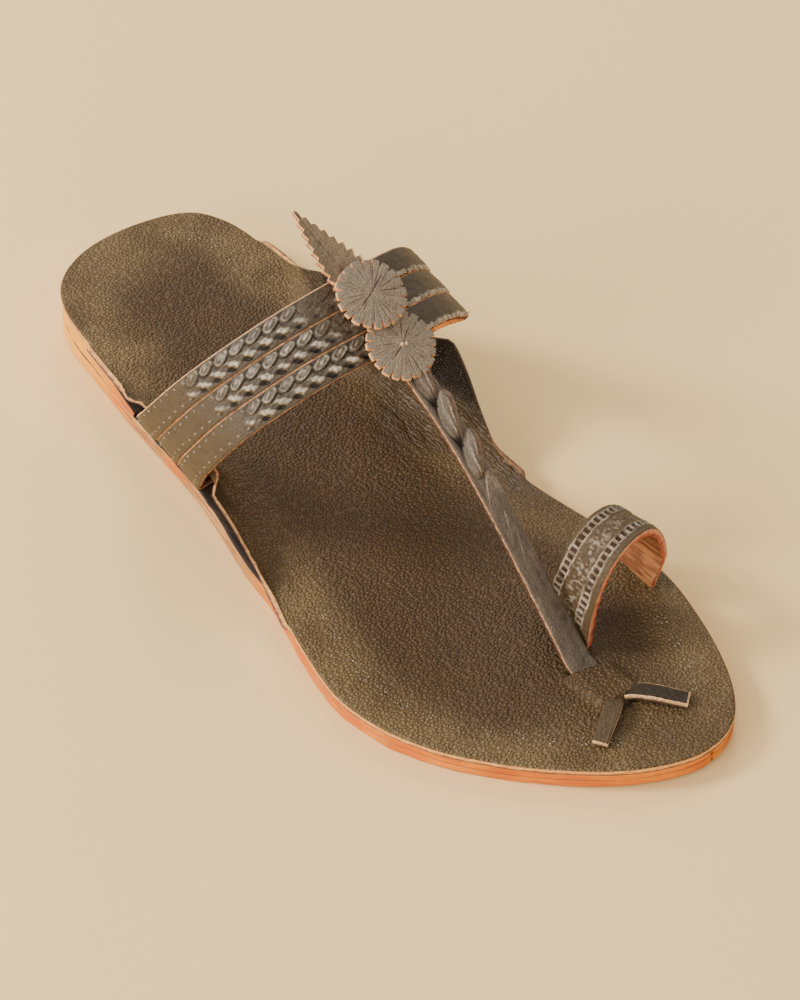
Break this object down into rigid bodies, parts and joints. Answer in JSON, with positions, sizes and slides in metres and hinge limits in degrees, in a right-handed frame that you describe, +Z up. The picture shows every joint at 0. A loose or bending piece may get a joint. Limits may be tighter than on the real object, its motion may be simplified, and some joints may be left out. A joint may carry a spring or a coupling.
{
  "type": "kolhapuri sandal",
  "caption": "Flat open leather sandal with a band of joined cross straps, a toe strap, a toe loop, a scalloped instep ornament and a layered sole with a low heel.",
  "frame": {"origin": "middle of the shoe's footprint, on the floor", "axes": "+Y from heel to toe, +X to the shoe's outer side, +Z up"},
  "size_m": [0.1022, 0.2618, 0.0978],
  "materials": {
    "sole_leather": "vegetable tanned tan leather with dyed, lightly burnished cut edges",
    "footbed_leather": "dark olive brown pebbled leather with a soft sheen",
    "strap_leather": "olive brown embossed and braided leather with pale cut edges and rubbed highlights",
    "ornament_leather": "grey olive pleated leather with pale scalloped edges",
    "rivet_brass": "aged domed brass"
  },
  "bodies": {
    "root": {"outsole": "sole_leather", "midsole": "sole_leather", "heel_lift": "sole_leather", "footbed": "footbed_leather", "upper": "strap_leather", "toe_loop": "strap_leather", "rosette_rear": "ornament_leather", "rosette_front": "ornament_leather", "leaf": "ornament_leather", "rivet_lateral": "rivet_brass", "rivet_medial": "rivet_brass"}
  },
  "joints": []
}
